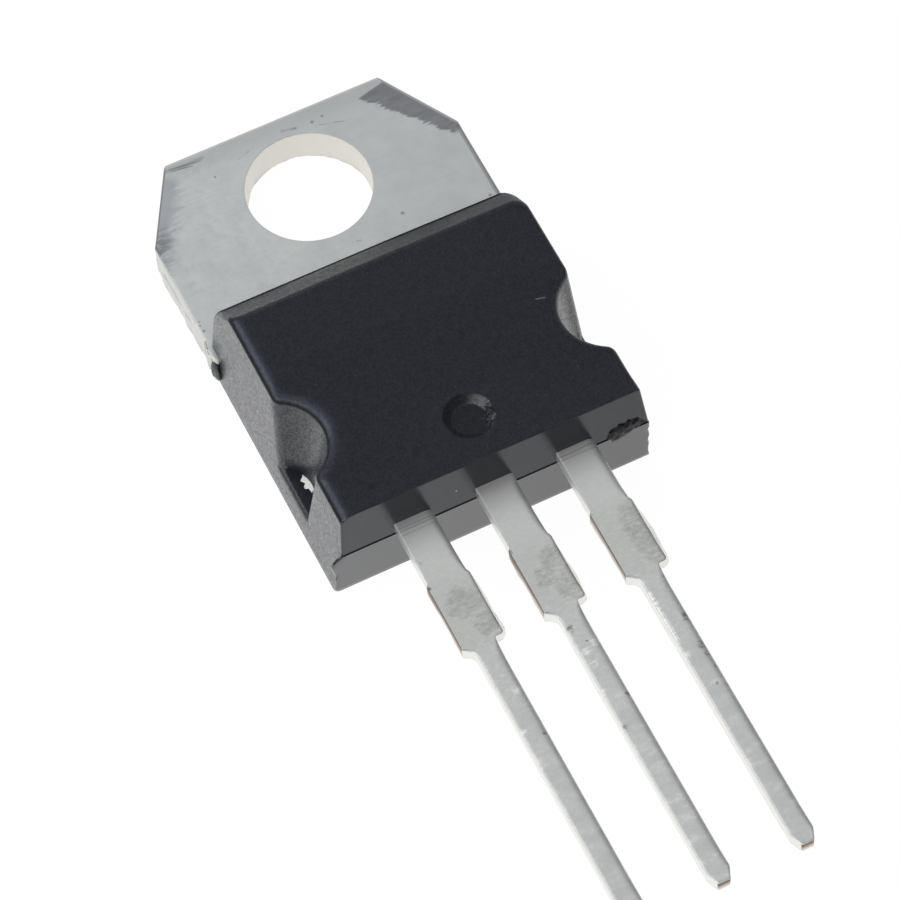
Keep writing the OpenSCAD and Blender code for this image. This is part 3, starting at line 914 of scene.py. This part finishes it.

# %% [markdown]
# ## Tin-plated copper
#
# The plating is dull and cool grey, with faint streaks along the rolling direction, which runs
# across the tab. Handling has left dark rubbed bands along the cut corners, a few scratches and
# specks. The leads are mottled, and stained where their tie bar was. Where the punch sheared the
# metal the wall is paler and rougher, in two bands. Where the tie bar was cut and at the tips bare
# copper shows as a thin brown line. Some masks paint light and shade: the tab grows darker towards
# the right, its left cut wall is darker, a dark line runs along its right edge and a pale one
# along its top edge, two lead roots have white glints, and dark ticks lie along the right lead's
# right edge. Each of these is a mask from 0 to 1, worked out from the place on the piece, and the
# masks lay their colours over the base one after the other.

# %% Colours and patterns of the tin
TIN_DARK, TIN = colour(0.52, 0.542, 0.543), colour(0.62, 0.64, 0.632)
# The first colour on the next line is for random patches and for painted shade on the tab; the
# second paints shade on the tab's left cut wall.
TIN_MOTTLE_AND_SHADE, TIN_SIDE_SHADED = colour(0.40, 0.412, 0.415), colour(0.64, 0.65, 0.615)
TIN_LEAD, TIN_ROOT = colour(0.63, 0.638, 0.622), colour(0.80, 0.80, 0.79)
TIN_PALE, TIN_BRIGHT = colour(0.77, 0.74, 0.685), colour(0.90, 0.895, 0.86)
# The first grey on the next line darkens real rubbed marks, and also paints shade along the right
# edges of the tab and the right lead.
RUBBED_AND_SHADE, SMUDGED = colour(0.19, 0.195, 0.21), colour(0.36, 0.38, 0.41)
# The last colour on the next line is the white of painted highlights at the lead roots.
STAINED, SCUFFED, ROOT_GLINT_WHITE = colour(0.36, 0.37, 0.34), colour(0.95, 0.95, 0.95), colour(1, 1, 1)
COPPER, COPPER_EDGE = colour(0.46, 0.35, 0.265), colour(0.11, 0.08, 0.065)

tinned, start = new_material("tinned_copper")
point, x, y, z = places(start)
faces_x = facing(start)[0]
cut = kept(start, "cut")
on_tab = y.climb(-4.4, -4.2)
on_leads = 1 - on_tab
streaks = noise(point, 6, 3, 0.6, (0.12, 2.2, 1.0))
clouds = noise(point, 0.9, 8, 0.72)
grain = noise(point, 14, 2, 0.6)
smear = noise(point, 6, 6, 0.85, (0.8, 1.6, 1.0))
patches = noise(point, 1.7, 6, 0.7)
feather = noise(point, 3.2, 5, 0.65, (0.45, 2.0, 1.0))
broad = noise(point, 1.5, 6, 0.75, (1.0, 1.5, 1.0))
tear = noise(point, 9, 4, 0.7, (1.0, 1.0, 0.35))
print("the tin starts with", len(tinned.node_tree.nodes), "nodes")

# %% Marks on the tab, with painted shade
CUT_WAY = (0.494, 0.869)
TAB_SPECKS = [(-2.35, 1.6, 0.05), (2.08, -2.13, 0.08), (4.67, -2.74, 0.07), (1.08, 2.07, 0.07),
              (1.44, 2.13, 0.06), (-4.97, 0.05, 0.12), (-4.92, -2.97, 0.05), (-4.89, -3.18, 0.06),
              (-4.89, -2.83, 0.04)]
TAB_STROKES = [((0.05, 2.19), (0.62, 2.08), 0.13), ((-3.6, 2.48), (-2.4, 2.32), 0.09),
               ((-3.5, 2.38), (-2.7, 2.27), 0.07), ((1.2, 1.88), (1.55, 1.78), 0.06),
               ((1.6, 1.79), (1.98, 1.65), 0.05), ((0.42, -2.4), (0.62, -2.45), 0.07),
               ((-1.51, 1.85), (-1.01, 2.0), 0.05)]


def from_cut(x, y, side):
    """Distance along a cut corner from its upper end, and distance inwards from it."""
    px, py = x * side - TOP_HALF, y - TAB_TOP
    return px * CUT_WAY[0] - py * CUT_WAY[1], px * -CUT_WAY[1] - py * CUT_WAY[0]


run_right, in_right = from_cut(x, y, 1)
run_left, in_left = from_cut(x, y, -1)
rub_right = (0.98 - run_right * 0.17 - in_right + (feather - 0.5) * 0.7).climb(-0.03, 0.08)
rub_right = (rub_right * in_right.climb(0.03, 0.12) * (y - x * 0.247).climb(1.57, 1.5)
             * run_right.climb(3.25, 3.0))
rub_left = (0.55 - in_left + (feather - 0.5) * 1.2).climb(-0.25, 0.3)
rub_left = rub_left * in_left.climb(0.02, 0.1) * run_left.climb(0.3, 0.6)
rub_top = (y + x * 0.04 + (feather - 0.5) * 0.3).climb(2.2, 2.26) * y.climb(2.5, 2.42)
rub_top = rub_top * (x + (patches - 0.5) * 1.5).climb(-2.3, -2.6)
haze = (y + (clouds - 0.5) * 1.4).climb(1.7, 2.5) * 0.35
foot_left = run_left.climb(1.9, 2.6) * in_left.climb(0.7, 0.2) * feather.climb(0.42, 0.6)
edge_left = in_left.climb(0.09, 0.03) * z.climb(1.0, 1.1) * run_left.climb(0.0, 0.2)
scratches = strokes(x, y, TAB_STROKES) * on_tab * feather.climb(0.3, 0.55)

base = layered((clouds * 0.7 + streaks * 0.3).climb(0.33, 0.67).blend(TIN_DARK, TIN), [
    (on_leads * (clouds * 0.6 + smear * 0.4).climb(0.72, 0.35), TIN_LEAD),
    (y.climb(-13.3, -12.7) * on_leads * 0.8, TIN_ROOT),
    (haze * on_tab, SMUDGED),
    (patches.climb(0.5, 0.68) * x.climb(0.5, -3.0) * on_tab * 0.35, TIN_MOTTLE_AND_SHADE),
    # the tab darker towards the right: painted shade
    (x.climb(-4.0, 4.5) * on_tab * 0.3, TIN_MOTTLE_AND_SHADE),
    (rub_right * on_tab * (0.55 + feather * 0.5), RUBBED_AND_SHADE),
    (rub_left * on_tab * (0.45 + patches * 0.6), SMUDGED),
    (rub_top * on_tab * 0.4, RUBBED_AND_SHADE),
    (foot_left.most(edge_left) * on_tab * 0.8, RUBBED_AND_SHADE),
    (spots(point, TAB_SPECKS, TAB_T).most(scratches) * 0.65, RUBBED_AND_SHADE)])
print("with the marks on the tab:", len(tinned.node_tree.nodes), "nodes")

# %% Marks on the leads, with painted highlights and shade
STAINS = [((-2.5, -15.65), (0.65, 0.7)), ((-2.2, -16.5), (0.45, 0.5)), ((0.45, -15.5), (0.6, 0.6)),
          ((0.0, -15.95), (0.5, 0.5)), ((0.5, -16.4), (0.7, 0.9)), ((3.0, -15.4), (0.65, 0.9)),
          ((3.05, -16.3), (0.6, 0.9))]
SCUFFS = [(0.19, -18.36, 0.2), (-0.16, -18.55, 0.2), (-0.14, -18.98, 0.18), (-0.32, -19.86, 0.16),
          (2.3, -19.9, 0.14), (-2.41, -18.74, 0.2), (-2.8, -20.0, 0.16)]
SCUFF_RUN = ((2.24, -17.5), (2.27, -19.6), 0.16)
# Dark ticks on the leads; those at x from 2.78 to 2.84, along the right edge of the right lead, are
# painted shade.
TICKS_AND_EDGE_SHADE = [(-0.23, -17.72, 0.17), (0.01, -18.27, 0.07), (-0.27, -21.1, 0.11), (0.29, -20.2, 0.13),
         (0.32, -20.48, 0.08), (-2.3, -20.28, 0.1), (2.8, -18.8, 0.2), (2.78, -19.8, 0.2),
         (2.79, -20.1, 0.12), (2.84, -20.55, 0.1), (2.59, -21.05, 0.07), (2.8, -24.63, 0.06),
         (-3.0, -13.98, 0.06)]
# Pure white spots at the right corners of two lead roots: painted highlights.
ROOT_GLINTS = [(3.12, -12.76, 0.07), (-1.98, -12.8, 0.07)]
ROOT_LINES = [((-3.25, -12.72), (-1.9, -12.74), 0.035), ((-3.25, -12.83), (-1.9, -12.82), 0.04),
              ((-3.25, -12.97), (-1.9, -12.96), 0.03), ((1.8, -12.71), (3.2, -12.69), 0.04),
              ((1.8, -12.83), (3.2, -12.84), 0.035)]

wavy = y + (broad - 0.5) * 1.5
worn = wavy.climb(STUB_Y + 0.5, STUB_Y - 0.5) * wavy.climb(SHOULDER_Y - 0.5, SHOULDER_Y + 0.4)
speckle = (smear * 0.65 + broad * 0.35).climb(0.36, 0.64)
blots = (any_of([oval(x, y, *stain) for stain in STAINS]) + (broad - 0.5) * 1.8).climb(0.05, 0.9)
stain = (blots * (0.1 + speckle * 0.9)).most(0.08 + speckle * 0.2) * worn
narrow = y.climb(-16.4, -17.2) * 0.65 + 0.35
close = y.climb(-21.0, -18.5)
mottle = smear * close + broad * (1 - close)
scuffs = spots(point, SCUFFS, LEAD_TOP, 0.8).most(stroke(x, y, *SCUFF_RUN))
ticks_and_edge_shade = spots(point, TICKS_AND_EDGE_SHADE, LEAD_TOP, 0.8) * smear.climb(0.42, 0.55)

base = layered(base, [
    (stain, STAINED),
    (on_leads * narrow * mottle.climb(0.46, 0.6) * 0.55, TIN_DARK),
    (on_leads * narrow * mottle.climb(0.47, 0.34) * 0.6, TIN_ROOT),
    (scuffs * smear.climb(0.6, 0.42) * 0.85, SCUFFED),
    # painted highlights at the lead roots
    (spots(point, ROOT_GLINTS, LEAD_TOP), ROOT_GLINT_WHITE),
    # dark ticks, partly painted shade, and the root lines
    (ticks_and_edge_shade.most(strokes(x, y, ROOT_LINES) * 0.5), RUBBED_AND_SHADE)])
print("with the marks on the leads:", len(tinned.node_tree.nodes), "nodes")

# %% Edges of the metal, relief and gloss, with painted shade and highlight
TIE_NUBS = [(side * PITCH - 0.62, STUB_Y - 0.14, 0.1) for side in (-1, 0)]

# A thin dark line along the right edge of the tab: painted shade.
right_edge_shade = x.climb(4.82, 4.88) * x.climb(4.98, 4.94) * y.climb(0.1, -0.1)
# A pale line along the top edge of the tab: painted highlight.
top_edge_highlight = y.climb(2.56, 2.6) * 0.4
stub = y.climb(STUB_Y + 0.05, STUB_Y - 0.05) * y.climb(SHOULDER_Y + 0.01, SHOULDER_Y + 0.05)
tip = y.climb(TIP_Y + 0.06, TIP_Y + 0.02) * z.climb(LEAD_TOP - 0.02, LEAD_TOP - 0.05)
bare = z.climb(LEAD_TOP - 0.46, LEAD_TOP - 0.2) * (stub * faces_x.climb(-0.15, -0.35)).most(tip)
nubs = spots(point, TIE_NUBS, LEAD_TOP, 0.9) * smear.climb(0.3, 0.6)
seam = z.climb(0.62, 0.68) * z.climb(0.8, 0.74) * cut

base = layered(base, [
    # painted shade along the tab's right edge
    (right_edge_shade * on_tab * 0.5, RUBBED_AND_SHADE),
    # paler cut walls, and the painted highlight along the tab's top edge
    ((cut * 0.9).most(top_edge_highlight), on_tab.blend(TIN_BRIGHT, TIN_PALE)),
    # The tab's left cut wall in a darker copy of the cut colour: painted shade.
    (cut * on_tab * x.climb(-4.2, -4.7), TIN_SIDE_SHADED),
    (bare, z.climb(LEAD_TOP - 0.3, LEAD_TOP - 0.08).blend(COPPER, COPPER_EDGE)),
    (nubs * 0.8, COPPER_EDGE),
    (seam * on_tab * x.climb(-4.6, -4.8) * 0.45, SMUDGED)])
height = grain * 0.35 + streaks * 0.35 + smear * 0.3 + tear * cut * 3.0
rough = 0.47 + (streaks - 0.5) * 0.12 - cut * 0.14 + rub_right * on_tab * 0.1
surface(start, base, rough, relief(start, height, 0.12, 0.02), Metallic=0.8)
put_on(tinned, ("input_strip", "output_strip", "tab_strip", "tab_burr", "bare_metal"))

# %% [markdown]
# ## Moulding compound
#
# The compound is epoxy full of fine silica, coloured with soot. It copies the mould: the top, the
# sides and the notches come out finely matt, and the face with the leads comes out smooth, so
# it mirrors the leads. The notch walls are scuffed by the mould's core. The dark base colour
# hardly varies, so what shows is mostly gloss, which is worked out last. Where the plastic is torn
# and where the notch walls are scratched, a veil of plain black lies over the shine. The same veil
# is painted shade in the dark crease along the soft left rims of the top, where the near top edge
# turns over above the tab, in the dimple and along the edges of the crept bulge. Less gloss at the
# foot of the walls is painted shade too, the soft left rims get a painted sheen of lighter bluish
# colour, and the flash lump a painted lighter grey.

# %% Colours and patterns of the epoxy
EPOXY, EPOXY_DUSTY = colour(0.002, 0.0048, 0.011), colour(0.0145, 0.0172, 0.0245)
# The first colour on the next line is painted sheen for the soft left rims.
EPOXY_RIM_SHEEN, EPOXY_SPECK = colour(0.015, 0.019, 0.038), colour(0.16, 0.15, 0.13)
EPOXY_TORN_AND_SHADE, EPOXY_PIT = colour(0.004, 0.004, 0.007), colour(0.002, 0.002, 0.003)
# The first colour on the next line is a painted lighter grey for the flash lump.
FLASH_LIT_GREY, SCRATCH_GREY = colour(0.11, 0.115, 0.115), colour(0.12, 0.12, 0.12)
AMBER_SPECK, WHITE_SPECK = colour(0.20, 0.15, 0.06), colour(0.6, 0.58, 0.55)

epoxy, start = new_material("epoxy")
point, x, y, z = places(start)
faces_x, faces_y, faces_z = facing(start)
glossy, notch, torn = (kept(start, name) for name in ("glossy", "notch", "torn"))
wall = faces_z.climb(0.99, 0.92)
bevel = faces_y.climb(0.1, 0.5)
fine = noise(point, 20, 2, 0.6)
coarse = noise(point, 3.5, 3, 0.6)
scuff = noise(point, 9, 5, 0.75, (2.2, 2.2, 0.6)) * notch * z.climb(3.6, 2.8)
scratch = noise(point, 6, 6, 0.8, (2.6, 2.6, 0.6)).climb(0.54, 0.66) * notch * z.climb(3.6, 2.4)
grains = start.node("ShaderNodeTexVoronoi", {"Vector": point, "Scale": 20}, out="Color")
specks = start.node("ShaderNodeTexVoronoi", {"Vector": point, "Scale": 2.3}, out="Distance")
print("the epoxy starts with", len(epoxy.node_tree.nodes), "nodes")

# %% Rims and marks of the epoxy, with painted sheen, light and shade
across, along = x - DIMPLE[0], y - DIMPLE[1]
reach = across ** 2 + along ** 2
# The left rims face left, and in front of the notch also away from the tab.
leftwards = x.maths("MINIMUM", faces_x, faces_y + x.climb(-3.6, -3.3))
edge = leftwards.climb(-0.15, -0.4) * z.climb(3.95, 4.05) * (1 - glossy) * reach.climb(0.8, 1.1)
# On the upper, flatter part of the soft left rims a lighter bluish colour: painted sheen.
rim_sheen = edge * faces_z.climb(0.6, 0.85)
# Where the soft left rim turns down into the side, a dark crease under the black veil: painted
# shade.
crease_shade = edge * faces_z.climb(0.2, 0.4) * faces_z.climb(0.9, 0.75) * x.climb(-3.3, -3.6)
# Two dark lines along the edges of the crept bulge at the far left corner: painted shade.
hook = stroke(x, z, (-4.76, 2.57), (-5.08, 2.25), 0.05)
bulge_edge_shade = hook.most(stroke(x, z, (-4.9, 1.5), (-4.98, 0.9), 0.03) * 0.6) * y.climb(-12.2, -12.35)
chips = spot(point, (0.58, -11.15, 4.2), 0.36, 0.4) * noise(point, 13, 3, 0.7).climb(0.55, 0.68)
scratch_line = stroke(x, y, (3.36, -8.4), (3.7, -8.49), 0.06) * z.climb(4.2, 4.28)

dust = (grains * 0.35 + fine * 0.35 + coarse * 0.3).climb(0.3, 0.7)
# painted sheen on the soft left rims
base = layered(dust.blend(EPOXY, EPOXY_DUSTY), [
    (rim_sheen, EPOXY_RIM_SHEEN),
    # dull torn plastic, and painted shade along the bulge's edges
    ((bulge_edge_shade * 0.9).most(torn * 0.7), EPOXY_TORN_AND_SHADE),
    (chips * z.climb(BODY_TOP, BODY_TOP - 0.04) * 0.8, EPOXY_SPECK),
    (specks.climb(0.045, 0.02) * (1 - glossy) * 0.5, EPOXY_SPECK),
    (spot(point, (-3.45, -11.84, 4.3), 0.14, 0.8), EPOXY_PIT),
    # The flash lump in a lighter grey than the epoxy: painted light.
    (x.climb(-4.98, -5.03) * y.climb(-5.2, -4.9), FLASH_LIT_GREY),
    (spot(point, (-2.3, -4.15, 3.16), 0.07), AMBER_SPECK),
    (spot(point, (-1.16, -12.5, 3.28), 0.035), WHITE_SPECK),
    (scratch_line, SCRATCH_GREY)])
print("with its marks:", len(epoxy.node_tree.nodes), "nodes")

# %% Gloss of the epoxy, with its painted shade
matt = 1 - glossy * 0.93
height = (coarse * 0.15 + scuff * 2.2 + torn * fine * 3.0) * matt
rough = 0.5 - glossy * 0.32 + (fine - 0.5) * 0.1 + notch * 0.05 + (bevel + torn) * 0.12
# Less gloss on a thin strip at the foot of the walls, and at the foot of the notch walls: painted
# shade.
foot = z.climb(BODY_LOW + 0.02, BODY_LOW + 0.1)
foot = foot * (1 - notch * z.climb(LEDGE_Z + 0.6, LEDGE_Z + 0.15))
grit = (grains - 0.5) * 1.2
shine = 0.78 - glossy * (0.36 + x * 0.04) - bevel * (0.33 + x * 0.06)
polish = (wall * foot * shine * (1 + grit * matt) * (1 - notch * x * 0.022) * (1 - scratch * 0.9)
          * (1 - z.climb(2.54, 2.48) * glossy * 0.3) * (1 - rim_sheen * 0.22))
# Where the near top edge turns over above the tab, the black veil is painted shade.
over = faces_y.climb(0.67, 0.77) * z.climb(2.0, 2.8)
# The dimple's floor and a crescent of its wall under the black veil: painted shade.
well = reach.climb(0.3, 0.24) * z.climb(4.31, 4.29)
dimple_crescent_shade = ((along * 0.95 - across * 0.45).climb(0.15, 0.5) * reach.climb(0.6, 0.55)
            * reach.climb(0.22, 0.3) * z.climb(4.31, 4.29))
# The black veil: dullness where the plastic is torn and scratched, and painted shade along the
# bulge's edges, the turned near edge, the dimple and the left crease.
veil = any_of([bulge_edge_shade * 0.9, torn * 0.6, over * 0.95, well * 0.25, dimple_crescent_shade * 0.6, scratch * 0.3,
               crease_shade * 0.65])
surface(start, base, rough, relief(start, height, 0.35, 0.02), veil,
        IOR=1.5, Specular_IOR_Level=0.28, Coat_Weight=polish, Coat_Roughness=0.24)
put_on(epoxy, ("moulding", "runner_scar", "side_flash"))

# %% [markdown]
# ## The pieces inside
#
# The chip, its solder and the bond wires are sealed in and never show in a whole part, but someone
# may open the model. Their CAD shapes are right as they are, so they only get finishes: dark
# polished silicon with a faint mottle, dull solder, and bright drawn aluminium wire.

# %% Inner finishes
def inner_finish(name, dark, light, scale, roughness, metal):
    """Two tones mixed by noise, with a little bump."""
    made, start = new_material(name)
    mottle = noise(places(start)[0], scale, 3, 0.6)
    surface(start, mottle.climb(0.3, 0.7).blend(dark, light), roughness + (mottle - 0.5) * 0.1,
            relief(start, mottle, 0.1, 0.01), Metallic=metal)
    return made


SILICON, SILICON_PALE = colour(0.10, 0.11, 0.13), colour(0.15, 0.16, 0.19)
SOLDER, SOLDER_PALE = colour(0.50, 0.50, 0.51), colour(0.62, 0.62, 0.63)
WIRE, WIRE_PALE = colour(0.78, 0.78, 0.79), colour(0.86, 0.86, 0.87)
silicon = inner_finish("silicon", SILICON, SILICON_PALE, 1.5, 0.12, 0.6)
solder = inner_finish("solder", SOLDER, SOLDER_PALE, 4.0, 0.45, 1.0)
wire = inner_finish("bond_wire", WIRE, WIRE_PALE, 8.0, 0.25, 1.0)
inner = {"silicon_die": silicon, "die_solder": solder,
         "input_wire": wire, "output_wire": wire, "ground_wire": wire}
for name, finish in inner.items():
    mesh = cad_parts[name].data
    mesh.materials.clear()
    mesh.materials.append(finish)
print("inner pieces:", ", ".join(inner))

# %% [markdown]
# ## Table, lights and world
#
# The part lies on a white table that photographs as pure white. Metal and gloss must mirror that
# white too, while the light that falls on the part stays plain. So the table is a mix: camera and
# mirror rays see it glow white, and all others see a plain pale surface. A small share of the plain
# surface stays in what the camera sees, so that the shadow of the part stays on the table. Three
# large soft panels light it: one behind the part, where the flat metal mirrors it, one on the left,
# which lights the rounded edges, and one in front on the left. The rest of the camera side is left
# darker, which is what the glossy end mirrors.

# %% Table
TABLE_R, TABLE_Y, TABLE_Z, TABLE_POINTS = 45.0, -10, -0.002, 96
GLOW_SHARE, GLOW = 0.92, 1.05

white, start = new_material("table")
rays = start.node("ShaderNodeLightPath", out="Is Camera Ray")
seen = rays.most(rays.beside("Is Glossy Ray")).most(rays.beside("Is Transmission Ray"))
bare_table = start.node("ShaderNodeBsdfDiffuse", {"Color": colour(0.8, 0.8, 0.8)})
glow = start.node("ShaderNodeEmission", {"Color": colour(1, 1, 1), "Strength": GLOW})
mixed = start.node("ShaderNodeMixShader", {0: seen * GLOW_SHARE, 1: bare_table, 2: glow})
start.node("ShaderNodeOutputMaterial", {"Surface": mixed})
a = np.linspace(0, 2 * math.pi, TABLE_POINTS, endpoint=False)
disc = np.column_stack([arc(0, TABLE_Y, TABLE_R, a), np.full(TABLE_POINTS, TABLE_Z)])
table_mesh = bpy.data.meshes.new("table")
table_mesh.from_pydata((disc * MM).tolist(), [], [list(range(TABLE_POINTS))])
table_mesh.materials.append(white)
table = bpy.data.objects.new("table", table_mesh)
bpy.context.scene.collection.objects.link(table)
print("table radius in mm:", TABLE_R)

# %% Lights
PANEL_FAR = 350


def panel(name, towards, size, brightness, tint=(1, 1, 1)):
    """A rectangular lamp that faces the part from a direction and glows with a given brightness:
    its power is brightness x pi x area."""
    lamp = bpy.data.lights.new(name, "AREA")
    lamp.shape, lamp.size, lamp.size_y = "RECTANGLE", size[0] * MM, size[1] * MM
    lamp.color = tint
    lamp.energy = brightness * math.pi * size[0] * size[1] * MM * MM
    holder = bpy.data.objects.new(name, lamp)
    away = Vector(towards).normalized()
    place = Matrix.Translation((Vector((0, TABLE_Y, 0)) + away * PANEL_FAR) * MM)
    holder.matrix_world = place @ away.to_track_quat("Z", "Y").to_matrix().to_4x4()
    bpy.context.scene.collection.objects.link(holder)


panel("back_panel", (0.2, 0.48, 0.854), (330, 260), 0.66)
panel("left_panel", (-0.78, 0.26, 0.58), (360, 220), 1.3, (0.98, 1.0, 1.01))
panel("front_left_panel", (-0.62, -0.42, 0.66), (320, 220), 1.5)

# %% World
SKY = 0.42
world = bpy.data.worlds.new("studio")
world.use_nodes = True
world.node_tree.nodes.clear()
start = Wire(world.node_tree)
east, north, high = xyz(start.node("ShaderNodeTexCoord", out="Generated"))
horizon = (high - 0.05).size().climb(0.3, 0.05)
grey = (SKY - east * 0.13 + north * 0.05) * (1 - horizon * 0.5)
around = start.node("ShaderNodeCombineColor", {0: grey, 1: grey, 2: grey * 1.01})
sky = start.node("ShaderNodeLightPath", out="Is Camera Ray").blend(around, colour(1, 1, 1))
shade = start.node("ShaderNodeBackground", {"Color": sky, "Strength": 1.0})
start.node("ShaderNodeOutputWorld", {"Surface": shade})
bpy.context.scene.world = world
bpy.context.scene.view_settings.view_transform = "Standard"
print("world:", len(world.node_tree.nodes), "nodes")
